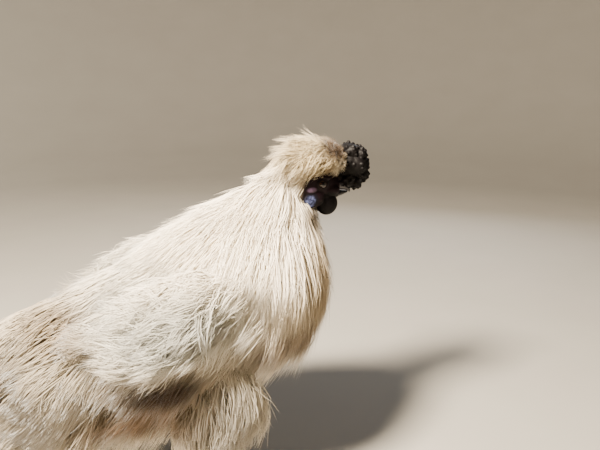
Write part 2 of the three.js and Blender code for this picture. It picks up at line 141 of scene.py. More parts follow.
def new_material(name):
    """A material whose node tree is empty, and that tree."""
    material = bpy.data.materials.new(name)
    material.use_nodes = True
    material.node_tree.nodes.clear()
    return material, material.node_tree


def finish_material(tree, shader):
    add(tree, "ShaderNodeOutputMaterial", Surface=shader.outputs["BSDF"])


def to_object(bm, name):
    """A bmesh as an object of the scene, its faces turned outwards."""
    bmesh.ops.recalc_face_normals(bm, faces=bm.faces)
    mesh = bpy.data.meshes.new(name)
    bm.to_mesh(mesh)
    bm.free()
    obj = bpy.data.objects.new(name, mesh)
    bpy.context.scene.collection.objects.link(obj)
    return obj


painted_floor, tree = new_material("matt_floor_paint")
grain = add(tree, "ShaderNodeTexNoise", Scale=40.0, Detail=3.0)
tint = mix_colour(tree, grain.outputs["Fac"], "#98938a", "#918c83")
paint = add(tree, "ShaderNodeBsdfPrincipled", Base_Color=tint, Roughness=0.9)
finish_material(tree, paint)

# The profile is in metres: flat for two of them, then a bend up into the wall.
bm = bmesh.new()
profile = [(0.0, 0.0), (2.0, 0.0), (2.4, 0.05), (2.7, 0.2), (2.9, 0.45), (3.0, 0.8), (3.0, 4.0)]
verts = [bm.verts.new((x, 0, z)) for x, z in profile]
edges = [bm.edges.new(pair) for pair in zip(verts, verts[1:])]
full_turn = {"axis": (0, 0, 1), "cent": (0, 0, 0), "angle": 2 * math.pi, "use_merge": True}
bmesh.ops.spin(bm, geom=verts + edges, steps=72, **full_turn)
bmesh.ops.remove_doubles(bm, verts=bm.verts, dist=1e-5)
floor = to_object(bm, "floor")
floor.data.shade_smooth()
floor.data.materials.append(painted_floor)

world = bpy.data.worlds.new("studio")
bpy.context.scene.world = world
world.use_nodes = True
sky = world.node_tree.nodes["Background"]
sky.inputs["Color"].default_value = linear("#cfc8bd")
sky.inputs["Strength"].default_value = 0.14


def lamp(name, at, aim, size, watts, code):
    """A square soft lamp at a point, aimed at another, both in the rooster's millimetres."""
    data = bpy.data.lights.new(name, "AREA")
    data.size = size * MM
    data.energy = watts
    data.color = linear(code)[:3]
    light = bpy.data.objects.new(name, data)
    light.location = Vector(place(at))
    way = Vector(place(aim)) - light.location
    light.rotation_euler = way.to_track_quat("-Z", "Y").to_euler()
    bpy.context.scene.collection.objects.link(light)


lamp("key_lamp", [-640, -330, 1160], [0, 0, 250], 260, 172.0, "#fff0da")
lamp("fill_lamp", [700, 900, 700], [0, 0, 180], 900, 9.0, "#e9edf5")
lamp("wall_lamp", [-1700, 1300, 1300], [-1300, 3000, 500], 900, 46.0, "#fff4e4")

# %% [markdown]
# ## Forms that everything grows from
# A bird's body is a smooth bag, so it can be told by a few rings: the top and low point of each ring
# and its half width. A curve through the rings gives every point between them. The strands need the
# same forms again, to know where they root and which way the coat lies, so a form is kept as a small
# class that answers for thousands of points at once.

# %% The form class


def between(rows, u):
    """Smooth rows of numbers at each u, straight on past the ends."""
    last = len(rows) - 1
    i = np.clip(np.floor(u).astype(int), 0, last - 1)
    t = (u - i)[:, None]
    b, c = rows[i], rows[i + 1]
    a = np.where((i > 0)[:, None], rows[np.maximum(i - 1, 0)], 2 * b - c)
    d = np.where((i < last - 1)[:, None], rows[np.minimum(i + 2, last)], 2 * c - b)
    smooth = b + 0.5 * t * (c - a + t * (2 * a - 5 * b + 4 * c - d + t * (3 * b - 3 * c + d - a)))
    return np.where((t < 0) | (t > 1), b + (c - b) * t, smooth)


def unit(vectors):
    return vectors / np.maximum(np.linalg.norm(vectors, axis=-1, keepdims=True), 1e-9)


LEAST_HALF = 0.2


class Form:
    """Rings of (top x, top z, low x, low z, half width, side), open to questions about its surface.
    turn is 0 at the top of a ring and a quarter turn at its left."""

    def __init__(self, rows, sign=1):
        self.rows = np.array([row if len(row) == 6 else (*row, 0) for row in rows], float)
        self.rows[:, 5] *= sign
        self.end = len(rows) - 1

    def point(self, u, turn):
        top_x, top_z, low_x, low_z, half, side = between(self.rows, u).T
        share = (1 + np.cos(turn)) / 2
        y = side + np.maximum(half, LEAST_HALF) * np.sin(turn)
        return np.stack([low_x + (top_x - low_x) * share, y, low_z + (top_z - low_z) * share], axis=-1)

    def frame(self, u, turn):
        """The point, its outward normal, and how it moves with u and with turn."""
        small = 0.02
        at = self.point(u, turn)
        along = (self.point(u + small, turn) - self.point(u - small, turn)) / (2 * small)
        around = (self.point(u, turn + small) - self.point(u, turn - small)) / (2 * small)
        normal = unit(np.cross(along, around))
        middle = (self.point(u, turn * 0) + self.point(u, turn * 0 + np.pi)) / 2
        outward = np.sign(((at - middle) * normal).sum(1))[:, None]
        return at, normal * outward, along, around


# %% The rooster's forms
TRUNK = Form(
    [
        (32, 331, 80, 292, 25),
        (6, 318, 86, 258, 40),
        (-24, 303, 88, 220, 54),
        (-56, 286, 82, 184, 67),
        (-88, 269, 58, 152, 76),
        (-120, 250, 24, 134, 81),
        (-152, 234, -24, 115, 80),
        (-186, 220, -80, 93, 72),
        (-219, 208, -138, 77, 59),
        (-250, 192, -190, 71, 43),
        (-273, 168, -230, 86, 24),
    ]
)
HEAD = Form(
    [
        (47, 325, 47, 303, 8),
        (54, 339, 54, 291, 17),
        (66, 345, 66, 287, 20),
        (80, 344, 80, 290, 19.5),
        (94, 337, 94, 294, 16),
        (105, 329, 105, 297, 11.5),
        (113, 321, 113, 300, 8),
    ]
)
BEAK_UPPER = Form(
    [
        (111, 321, 111, 308, 7.6),
        (118, 318.5, 118, 307.2, 6),
        (124, 314, 124, 306, 4),
        (129, 307, 128, 303.6, 1.2),
    ]
)
BEAK_LOWER = Form([(111, 307.6, 111, 299, 7), (118, 306.8, 118, 301, 5.2), (125, 305.6, 125, 303.4, 2)])
CREST = Form(
    [
        (40, 336, 46, 323, 12),
        (55, 349, 53, 325, 23),
        (72, 358, 71, 330, 26),
        (88, 358, 88, 332, 26),
        (102, 356, 99, 331, 22),
        (110, 349, 106, 330, 14),
        (112, 343, 109, 334, 6),
    ]
)
WING_ROWS = [
    (-6, 232, -6, 214, 4, 66),
    (-30, 246, -30, 188, 13, 73),
    (-65, 250, -65, 170, 17, 78),
    (-100, 240, -100, 160, 16, 79),
    (-130, 226, -130, 166, 12, 74),
    (-150, 210, -150, 182, 6, 66),
]
THIGH_ROWS = [
    (-8, 168, -60, 168, 18, 50),
    (4, 142, -76, 142, 32, 50),
    (8, 112, -82, 112, 35, 50),
    (6, 86, -84, 86, 33, 49),
    (-4, 65, -78, 65, 27, 47),
    (-26, 48, -64, 48, 14, 45),
]
SHANK_ROWS = [(-51, 60, -65, 60, 6, 44), (-45, 34, -59, 34, 5.6, 44), (-39, 9, -53, 9, 6.4, 44)]
SIDES = {"right": -1, "left": 1}
WING, THIGH, SHANK = [
    {word: Form(rows, sign) for word, sign in SIDES.items()} for rows in (WING_ROWS, THIGH_ROWS, SHANK_ROWS)
]
print("stations along the trunk:", TRUNK.end)

# %% [markdown]
# ## From a form to a mesh
# A ring of vertices is extruded once for each station and laid on the form, as one would extrude and
# scale a circle by hand. Each vertex remembers its own turn round the ring in a layer, so that the
# extruded copy knows where it belongs.

# %% Loft and other small tools


def loft(bm, form, rings, sides, grow=0.0, start=0, stop=None):
    """A closed skin over a form, or between two of its stations, pushed out by grow millimetres."""
    stop = form.end if stop is None else stop
    turns = bm.verts.layers.float.get("turn") or bm.verts.layers.float.new("turn")
    ring = bmesh.ops.create_circle(bm, segments=sides, radius=1.0)["verts"]
    for i, vert in enumerate(ring):
        vert[turns] = 2 * math.pi * i / sides
    edges = list({edge for vert in ring for edge in vert.link_edges})
    first = list(edges)
    for i in range(rings + 1):
        if i:
            geometry = bmesh.ops.extrude_edge_only(bm, edges=edges)["geom"]
            ring = [g for g in geometry if isinstance(g, bmesh.types.BMVert)]
            edges = [g for g in geometry if isinstance(g, bmesh.types.BMEdge)]
        turn = np.array([vert[turns] for vert in ring])
        u = np.full(len(ring), start + (stop - start) * i / rings)
        at, normal, _, _ = form.frame(u, turn)
        for vert, co in zip(ring, place(at + normal * grow)):
            vert.co = co
    for loop in (first, edges):
        bmesh.ops.contextual_create(bm, geom=loop)


unit_balls = {}


def ball(bm, centre, half, turned=(0, 0, 0), segments=24):
    """An ellipsoid, copied from a unit ball. centre and half are in millimetres, turned in degrees."""
    if segments not in unit_balls:
        unit_ball = bmesh.new()
        bmesh.ops.create_uvsphere(unit_ball, u_segments=segments, v_segments=segments * 2 // 3, radius=1.0)
        unit_balls[segments] = bpy.data.meshes.new("unit_ball")
        unit_ball.to_mesh(unit_balls[segments])
        unit_ball.free()
    turn = Euler([math.radians(a) for a in turned]).to_matrix().to_4x4()
    size = Matrix.Diagonal((*[h * MM for h in half], 1))
    copy = unit_balls[segments].copy()
    copy.transform(Matrix.Translation(Vector(place(centre))) @ turn @ size)
    bm.from_mesh(copy)
    bpy.data.meshes.remove(copy)


def hoop(bm, centre, half, thick, segments=28):
    """An oval hoop that faces sideways, spun from a small circle. half are its two half sizes."""
    known = set(bm.verts)
    made = bmesh.ops.create_circle(bm, segments=8, radius=thick * MM)["verts"]
    bmesh.ops.rotate(bm, verts=made, matrix=Matrix.Rotation(math.pi / 2, 3, "X"))
    bmesh.ops.translate(bm, verts=made, vec=(MM * half[0], 0, 0))
    edges = list({edge for vert in made for edge in vert.link_edges})
    bmesh.ops.spin(bm, geom=made + edges, steps=segments, **full_turn)
    verts = [vert for vert in bm.verts if vert not in known]
    bmesh.ops.scale(bm, verts=verts, vec=(1, half[1] / half[0], 1))
    bmesh.ops.rotate(bm, verts=verts, matrix=Matrix.Rotation(math.pi / 2, 3, "X"))
    bmesh.ops.translate(bm, verts=verts, vec=Vector(place(centre)))


def apply_modifiers(obj):
    """Makes the shown shape the real one."""
    depsgraph = bpy.context.evaluated_depsgraph_get()
    mesh = bpy.data.meshes.new_from_object(obj.evaluated_get(depsgraph))
    old = obj.data
    obj.modifiers.clear()
    obj.data = mesh
    bpy.data.meshes.remove(old)
    return obj


def fuse(obj, voxel):
    """Melts overlapping closed shapes into one skin of even squares, and takes the steps off it."""
    remesh = obj.modifiers.new("fuse", "REMESH")
    remesh.mode = "VOXEL"
    remesh.voxel_size = voxel * MM
    smooth = obj.modifiers.new("soften", "SMOOTH")
    smooth.factor = 0.5
    smooth.iterations = 3
    return apply_modifiers(obj)


def combine(obj, operation, other):
    """Joins another closed shape to an object, or cuts it out, and removes it from the scene."""
    boolean = obj.modifiers.new("combine", "BOOLEAN")
    boolean.operation = operation
    boolean.solver = "MANIFOLD"
    boolean.object = other
    apply_modifiers(obj)
    bpy.data.objects.remove(other)


def dress(obj, body="root", material=None):
    """The last steps of a piece: smooth faces, a finish, and a parent, the body it rides on."""
    obj.data.shade_smooth()
    if material:
        obj.data.materials.clear()
        obj.data.materials.append(material)
    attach(obj, body)


# %% [markdown]
# ## Comb, face, wattles and earlobes
# A silkie cock has a walnut comb: a cushion of small knobs that lies low over the root of the beak.
# Its bare skin is black with a mulberry tinge, and its earlobes are slate blue. All of it is one
# skin, so the parts are laid into each other as closed shapes and then melted together. The knobs
# are set with the golden angle, the same rule that spreads seeds evenly over a sunflower, and chance
# moves each one a little.

# %% The comb's lobes and knobs
COMB_LOBES = [
    (127, 5.0, 349, 9.5),
    (136, 6.0, 346, 9.5),
    (140, 6.5, 336, 8.5),
    (139, 6.0, 325, 8.5),
    (132, 5.5, 316, 8.0),
    (124, 5.5, 320, 9.0),
    (125, 6.0, 335, 12.0),
    (132, 7.0, 335, 12.5),
]
KNOBS = 26
KNOB_RADIUS = (1.4, 2.7)
# No knob is set inside this share of any lobe's radius.
FREE_FROM = 0.97
GOLDEN_ANGLE = math.pi * (3 - math.sqrt(5))
rng = np.random.default_rng(7)


def comb(bm):
    """Lobes on both sides of a furrow, each covered with knobs where it stands free."""
    lobes = [(np.array([x, sign * y, z]), r) for x, y, z, r in COMB_LOBES for sign in SIDES.values()]
    knobs = 0
    for centre, r in lobes:
        ball(bm, centre, (r, r, r), segments=28)
        for i in range(KNOBS):
            high = 1 - 2 * (i + rng.uniform(0.1, 0.9)) / KNOBS
            angle = GOLDEN_ANGLE * i + rng.uniform(-0.5, 0.5)
            across = math.sqrt(1 - high * high)
            spot = centre + r * np.array([across * math.cos(angle), across * math.sin(angle), high])
            if all(np.linalg.norm(spot - other) > size * FREE_FROM for other, size in lobes):
                size = rng.uniform(*KNOB_RADIUS)
                ball(bm, spot, (size, size, size * rng.uniform(0.8, 1.2)), segments=10)
                knobs += 1
    return knobs


# %% The head's flesh
HEAD_VOXEL = 0.8

bm = bmesh.new()
print("comb knobs:", comb(bm))
loft(bm, HEAD, 26, 40)
# The crown, and the cushion under the comb
ball(bm, (76, 0, 332), (25, 18.5, 14))
ball(bm, (113, 0, 334), (14, 11.5, 10))
ball(bm, (119, 0, 323), (9, 8.5, 10))
for sign in SIDES.values():
    # Cheek, lore, the mound of the eye with its lids, and the brow
    ball(bm, (79, sign * 13.5, 303), (13, 7.5, 11))
    ball(bm, (99, sign * 9.5, 309), (13, 6, 7.5))
    ball(bm, (88, sign * 15.6, 318), (8.6, 3.6, 7.4))
    hoop(bm, (88, sign * 18.9, 318), (4.9, 4.3), 1.25)
    ball(bm, (90, sign * 16.4, 325), (8.5, 3.4, 2.6), (0, 12, 0))
    # The wattle and its root, then three folds on the cheek
    ball(bm, (97, sign * 9.3, 294.5), (12.6, 6.6, 12.8))
    ball(bm, (94, sign * 8.5, 304), (9, 6.5, 7))
    for fold in range(3):
        at = (79 + 3.5 * fold, sign * 17.6, 309 - 3.2 * fold)
        ball(bm, at, (6, 1.7, 1.3), (0, 32 + 9 * fold, 0), segments=16)
    # The fold over the earlobe, its rim and the earlobe itself
    ball(bm, (75.5, sign * 18.8, 312), (6.4, 2.4, 3.6), (0, -18, 0))
    hoop(bm, (74, sign * 18.6, 300.5), (6.2, 6.6), 1.5)
    ball(bm, (74, sign * 18.0, 300.5), (6.0, 2.6, 6.6), (0, 45, 0))
head_flesh = fuse(to_object(bm, "head_flesh"), HEAD_VOXEL)
print("head flesh:", len(head_flesh.data.polygons), "faces")

# %% [markdown]
# ## Legs and feet
# A silkie has five toes, where other fowl have four: the extra one stands up behind. Shank and toes
# are covered with overlapping plates. Each plate is a flattened ball that stands half a millimetre
# out of the toe, and melting the whole leaves a soft step at its edge, as on the real foot. The
# soles are then cut flat at the floor, since a standing bird's pads press flat.

# %% The feet's flesh
FOOT_AT = np.array([-46.0, 44.0, 0.0])
TOES = {
    "inner": (-24, 46, 5.2, 0),
    "middle": (2, 56, 5.6, 0),
    "outer": (30, 46, 5.2, 0),
    "hind": (206, 24, 4.8, 0),
    "fifth": (176, 25, 4.2, 16),
}
TOE_BALLS = 13
TOE_TAPER = 0.32
TOE_SINK = 0.72
TOE_CLIMB = 0.45
KNUCKLE, SHAFT = 1.07, 0.95
PLATE_STEP = 4.6
PLATE_AT, PLATE_THICK = 0.72, 0.42
SHANK_PLATES = 9
FOOT_VOXEL = 0.95


def toe_radius(radius, t):
    return radius * (1 - TOE_TAPER * t)


def on_toe(sign, yaw, reach, height):
    """A point reach millimetres out along a toe."""
    angle = math.radians(yaw)
    x = FOOT_AT[0] + reach * math.cos(angle)
    y = FOOT_AT[1] + reach * math.sin(angle)
    return np.array([x, sign * y, height])


def toe_height(radius, lift, t):
    """The height of a toe's axis. TOE_SINK is a share of its radius, as the pad is pressed flat."""
    return lift + toe_radius(radius, t) * TOE_SINK + lift * t * TOE_CLIMB


def foot_flesh(word, sign):
    bm = bmesh.new()
    loft(bm, SHANK[word], 10, 20)
    ball(bm, (FOOT_AT[0], sign * FOOT_AT[1], 6.5), (10, 9, 7.5))
    for yaw, length, radius, lift in TOES.values():
        for i in range(TOE_BALLS):
            t = i / (TOE_BALLS - 1)
            thick = toe_radius(radius, t) * (KNUCKLE if i % 3 == 1 else SHAFT)
            at = on_toe(sign, yaw, length * t, toe_height(radius, lift, t))
            ball(bm, at, (length / 9, thick * 0.95, thick), (0, 0, sign * yaw), segments=16)
        for i in range(int(length / PLATE_STEP)):
            t = (i + 0.5) * PLATE_STEP / length
            thick = toe_radius(radius, t)
            at = on_toe(sign, yaw, length * t, toe_height(radius, lift, t) + thick * PLATE_AT)
            half = (3.0, thick * PLATE_AT, thick * PLATE_THICK)
            ball(bm, at, half, (0, -9, sign * yaw), segments=12)
    for i in range(SHANK_PLATES):
        t = (i + 0.5) / SHANK_PLATES
        front = SHANK[word].point(np.array([2 * t]), np.array([0.0]))[0]
        ball(bm, front + (-2.6, 0, 0), (3.4, 4.9, 3.4), (0, 12, 0), segments=14)
    foot = fuse(to_object(bm, "foot_flesh_" + word), FOOT_VOXEL)
    bm = bmesh.new()
    bm.from_mesh(foot.data)
    everything = bm.verts[:] + bm.edges[:] + bm.faces[:]
    bmesh.ops.bisect_plane(bm, geom=everything, plane_co=(0, 0, 0), plane_no=(0, 0, 1), clear_inner=True)
    bmesh.ops.holes_fill(bm, edges=[edge for edge in bm.edges if edge.is_boundary], sides=0)
    bmesh.ops.triangulate(bm, faces=[face for face in bm.faces if len(face.verts) > 4])
    bm.to_mesh(foot.data)
    bm.free()
    return foot


feet_flesh = [foot_flesh(word, sign) for word, sign in SIDES.items()]
print("feet flesh:", sum(len(foot.data.polygons) for foot in feet_flesh), "faces")

# %% [markdown]
# ## Body, wings and thighs, and one skin over all
# Under the coat the body is plain, so wide squares do. It lies three to six millimetres inside the
# forms, about where the strands will root. Head, feet and body are each melted at their own fineness,
# and Boolean unions join them to a single closed skin with no seam at the throat or the hocks.

# %% The body, and the union
BODY_DEPTH = 6.0
WING_DEPTH = 3.0
THIGH_DEPTH = 4.0
BODY_VOXEL = 3.0

bm = bmesh.new()
loft(bm, TRUNK, 40, 48, -BODY_DEPTH)
ball(bm, (56, 0, 308), (26, 15, 17))
loft(bm, CREST, 16, 32, -BODY_DEPTH, 0, 5.6)
for word in SIDES:
    loft(bm, WING[word], 18, 28, -WING_DEPTH, 0.2, 4.9)
    loft(bm, THIGH[word], 18, 32, -THIGH_DEPTH)
skin = fuse(to_object(bm, "skin"), BODY_VOXEL)
for part in [head_flesh, *feet_flesh]:
    combine(skin, "UNION", part)
print("skin:", len(skin.data.polygons), "faces")

# %% [markdown]
# ## Eyes, beak and claws
# These are hard, shiny and separate from the skin. The eyes are plain balls that sit deep in their
# lids. The beak is short and stout, with a hooked upper half; it is lofted from its own rings, and a
# small ball cut from each side leaves the nostril. A claw is a thin horn that droops to the floor.

# %% Eyes
eyes = {}
for word, sign in SIDES.items():
    bm = bmesh.new()
    ball(bm, EYE * (1, sign, 1), [EYE_RADIUS] * 3, (90, 0, 0), segments=36)
    eyes[word] = to_object(bm, "eye_ball_" + word)

# %% Beak
bm = bmesh.new()
loft(bm, BEAK_UPPER, 24, 28)
upper_beak = to_object(bm, "horn_beak_upper")
bm = bmesh.new()
for sign in SIDES.values():
    ball(bm, (117, sign * 6.4, 313.4), (2.4, 1.6, 0.9), (0, 12, 0), segments=16)
combine(upper_beak, "DIFFERENCE", to_object(bm, "nostrils"))
bm = bmesh.new()
loft(bm, BEAK_LOWER, 16, 24)
lower_beak = to_object(bm, "horn_beak_lower")

# %% Claws
CLAW_RINGS = 5
CLAW_LENGTH = 11.0
CLAW_ROOT = 1.5
CLAW_DROOP = 4.0
CLAW_THICK, CLAW_TAPER, CLAW_POWER = 0.62, 0.54, 0.8
CLAW_WIDTH = 0.8
CLAW_GAP = 0.3

claws = {}
for word, sign in SIDES.items():
    for toe, (yaw, length, radius, lift) in TOES.items():
        root = toe_height(radius, lift, 1)
        rows = []
        for i in range(CLAW_RINGS):
            t = i / (CLAW_RINGS - 1)
            thick = toe_radius(radius, 1) * (CLAW_THICK - CLAW_TAPER * t**CLAW_POWER)
            x = FOOT_AT[0] + length - CLAW_ROOT + (CLAW_LENGTH + CLAW_ROOT) * t
            z = max(root - CLAW_DROOP * t * t, thick + CLAW_GAP)
            rows.append((x, z + thick, x, z - thick, thick * CLAW_WIDTH, FOOT_AT[1]))
        bm = bmesh.new()
        loft(bm, Form(rows, sign), 12, 14)
        about = Vector(place(FOOT_AT * (1, sign, 1)))
        toed_out = Matrix.Rotation(math.radians(yaw * sign), 3, "Z")
        bmesh.ops.rotate(bm, verts=bm.verts, cent=about, matrix=toed_out)
        claws[word, toe] = to_object(bm, "horn_claw_" + word + "_" + toe)
print("eyes, beak halves and claws:", len(eyes) + 2 + len(claws))

# %% [markdown]
# ## Where a strand roots and how it lies
# Real feathers grow in rows, but a silkie's are so fine that only the locks they gather into show. So
# the roots are scattered evenly over a form. From its root each strand walks over the form, in steps,
# partly the way the coat lies and partly the way it would hang, and rises a little at each step, so
# that every tip lies over the next roots. Past the form's end it goes straight on.

# %% Scattering and walking
DOWN = np.array([0.0, 0.0, -1.0])
# Roots may lie this far before a form's first station.
FIRST_STATION = -0.4
# Where a form closes to a point its cells shrink to nothing, and this keeps the steps there short.
LEAST_CELL = 2e4


def scatter(form, count, stations, turns, rng):
    """Roots spread evenly over a form's surface, between two stations and two turns."""
    found_u, found_turn = [], []
    while sum(map(len, found_u)) < count:
        u = rng.uniform(*stations, count * 4)
        turn = rng.uniform(*np.radians(turns), count * 4)
        _, _, along, around = form.frame(u, turn)
        area = np.linalg.norm(np.cross(along, around), axis=1)
        kept = rng.random(len(u)) < area / area.max()
        found_u.append(u[kept])
        found_turn.append(turn[kept])
    return np.concatenate(found_u)[:count], np.concatenate(found_turn)[:count]


def dot(a, b):
    return (a * b).sum(axis=1)


def moved(along, around, move):
    """How far a step in millimetres goes in u and in turn. The two ways over the form aren't square."""
    slant = dot(along, around)
    area = np.maximum(dot(along, along) * dot(around, around) - slant**2, LEAST_CELL)
    du = (dot(move, along) * dot(around, around) - dot(move, around) * slant) / area
    dturn = (dot(move, around) * dot(along, along) - dot(move, along) * slant) / area
    return du, dturn


def walk(form, u, turn, lie, length, lift, steps, rng):
    """The path of each strand in millimetres, and the form's normal along it. lift scales its rise."""
    stray = (np.radians(lie["stray"]) * rng.standard_normal(len(u)))[:, None]
    path, normals, over = [], [], 0.0
    for i, t in enumerate(steps):
        at, normal, along, around = form.frame(u, turn)
        rise = lift * lie["rise"] * (1 - lie["flat"] * np.maximum(np.cos(turn), 0))
        height = rise * t ** lie["climb"] - lie["sunk"] * (1 - t)
        at = at + over + normal * height[:, None]
        at[:, 2] -= lie["droop"] * t * t
        path.append(at)
        normals.append(normal)
        if i + 1 < len(steps):
            hanging = DOWN - normal * dot(normal, DOWN[None])[:, None]
            ahead = unit(unit(along) * lie["way"] * (1 - lie["hang"]) + hanging * lie["hang"])
            ahead = ahead * np.cos(stray) + np.cross(normal, ahead) * np.sin(stray)
            move = ahead * (length * (steps[i + 1] - t))[:, None]
            du, dturn = moved(along, around, move)
            ahead_u = np.clip(u + du, np.minimum(u, 0), np.maximum(u, form.end))
            done = np.where(np.abs(du) > 1e-6, (ahead_u - u) / np.where(du == 0, 1, du), 1)
            over = over + move * (1 - done)[:, None]
            u, turn = ahead_u, turn + dturn * done
    return np.stack(path, axis=1), np.stack(normals, axis=1)


# %% [markdown]
# ## From paths to silky locks
# A strand alone is a dull straight hair. What makes plumage is that neighbours lean together: each
# lock has one leading path, and its strands are drawn to it more and more towards the tip. The locks
# in turn are drawn into broad tresses. A few strands stay free, and give the soft halo at the bird's
# outline. Every strand is a thin closed prism with three sides, whose faces are all worked out at
# once as arrays, since there are so many.

# %% The strand meshes
STRAND_SIDES = 3
TAPER, TAPER_POWER = 0.72, 1.5
RIDGE = 0.9
FLOOR_GAP = 0.4
# The side of one strand's own patch, as a share of the bake map
PATCH = 0.003


def strand_mesh(name, path, normals, width, roots, shade):
    """Closed tapered prisms along many paths, as one mesh with its bake map and two attributes."""
    count, rings, _ = path.shape
    rings -= 1
    t = np.linspace(0, 1, rings + 1)
    tangent = unit(np.gradient(path, axis=1))
    across = unit(np.cross(normals, tangent))
    raised = np.cross(tangent, across)
    taper = (1 - TAPER * t**TAPER_POWER)[None, :, None] * width[:, None, None] / 2
    corners = [path + across * taper, path + raised * taper * RIDGE, path - across * taper]
    body = np.stack(corners, axis=2)[:, :rings].reshape(count, -1, 3)
    points = np.concatenate([body, path[:, rings:]], axis=1)
    points[..., 2] = np.maximum(points[..., 2], FLOOR_GAP)
    each = points.shape[1]

    sides = []
    for ring in range(rings - 1):
        for j in range(STRAND_SIDES):
            k = (j + 1) % STRAND_SIDES
            a, b = ring * STRAND_SIDES + j, ring * STRAND_SIDES + k
            sides += [(a, b, b + STRAND_SIDES), (a, b + STRAND_SIDES, a + STRAND_SIDES)]
    last = (rings - 1) * STRAND_SIDES
    sides += [(last + j, last + (j + 1) % STRAND_SIDES, each - 1) for j in range(STRAND_SIDES)]
    sides.append((0, 2, 1))
    faces = (np.array(sides)[None] + each * np.arange(count)[:, None, None]).reshape(-1)

    mesh = bpy.data.meshes.new(name)
    mesh.vertices.add(count * each)
    mesh.vertices.foreach_set("co", place(points.reshape(-1, 3)).astype(np.float32).ravel())
    mesh.loops.add(len(faces))
    mesh.loops.foreach_set("vertex_index", faces.astype(np.int32))
    mesh.polygons.add(len(faces) // 3)
    mesh.polygons.foreach_set("loop_start", np.arange(0, len(faces), 3, dtype=np.int32))
    mesh.update(calc_edges=True)

    reach = np.append(np.repeat(t[:rings], STRAND_SIDES), 1.0)
    corner = np.append(np.tile([0.0, 0.5, 1.0], rings), 0.5)
    patch = np.stack([corner, reach], axis=1) * PATCH
    bake = (roots[:, None] * (1 - PATCH) + patch[None]).reshape(-1, 2)
    bake_map = mesh.uv_layers.new(name="OFBake")
    bake_map.data.foreach_set("uv", bake[faces].astype(np.float32).ravel())
    for title, values in (("reach", np.tile(reach, count)), ("shade", np.repeat(shade, each))):
        attribute = mesh.attributes.new(title, "FLOAT", "POINT")
        attribute.data.foreach_set("value", values.astype(np.float32))
    return mesh


def followers(form, lead_u, lead_turn, count, spread, rng):
    """Roots scattered round leading roots, and the number of each one's leader."""
    _, _, along, around = form.frame(lead_u, lead_turn)
    own = np.arange(count) % len(lead_u)
    off = rng.normal(0, spread, (count, 2, 1))
    move = off[:, 0] * unit(along)[own] + off[:, 1] * unit(around)[own]
    du, dturn = moved(along[own], around[own], move)
    return own, np.clip(lead_u[own] + du, FIRST_STATION, form.end), lead_turn[own] + dturn


# %% Growing a piece of coat
# rise, sunk and droop are the tip's height, the root's depth and the tip's sag in millimetres. relief
# is how far locks differ in rise, and flat how much of it is lost on top. With a climb under 1 they rise
# early. way is 1 towards the form's end and -1 towards its start, hang is 0 along the form and 1
# straight down, and stray is in degrees.
USUAL_LIE = {
    "rise": 12, "climb": 0.75, "relief": 0.35, "flat": 0, "sunk": 8,
    "droop": 0, "way": 1, "hang": 0.1, "stray": 6,
}
# gather is how far a tip is drawn to its leader's, and free the share of strands that hardly are.
USUAL_LOCK = {"strands": 14, "spread": 3.2, "gather": 0.75, "free": 0.12, "wave": 0.02}
USUAL_TRESS = {"locks": 9, "spread": 9.0, "gather": 0.5}
LEADER_LENGTHS, STRAND_LENGTHS, WIDTHS = (0.85, 1.1), (0.7, 1.08), (0.7, 1.25)
PULL_POWER = 1.3
FREE_GATHER = 0.1
WAVE_TURN, CURL = 4.2, 1.2
LOCK_TONE, STRAND_TONE = 0.7, 0.3
# A strand that would stand further out than this, to either side, is left out.
HALF_SPAN = 120.0


def outside(path, zones):
    """Which strands stay out of all ellipsoids and inside the bird's width."""
    kept = np.abs(path[..., 1]).max(axis=1) < HALF_SPAN
    for centre, half in zones:
        away = (path - np.array(centre)) / half
        kept &= (np.linalg.norm(away, axis=-1) > 1).all(axis=1)
    return kept


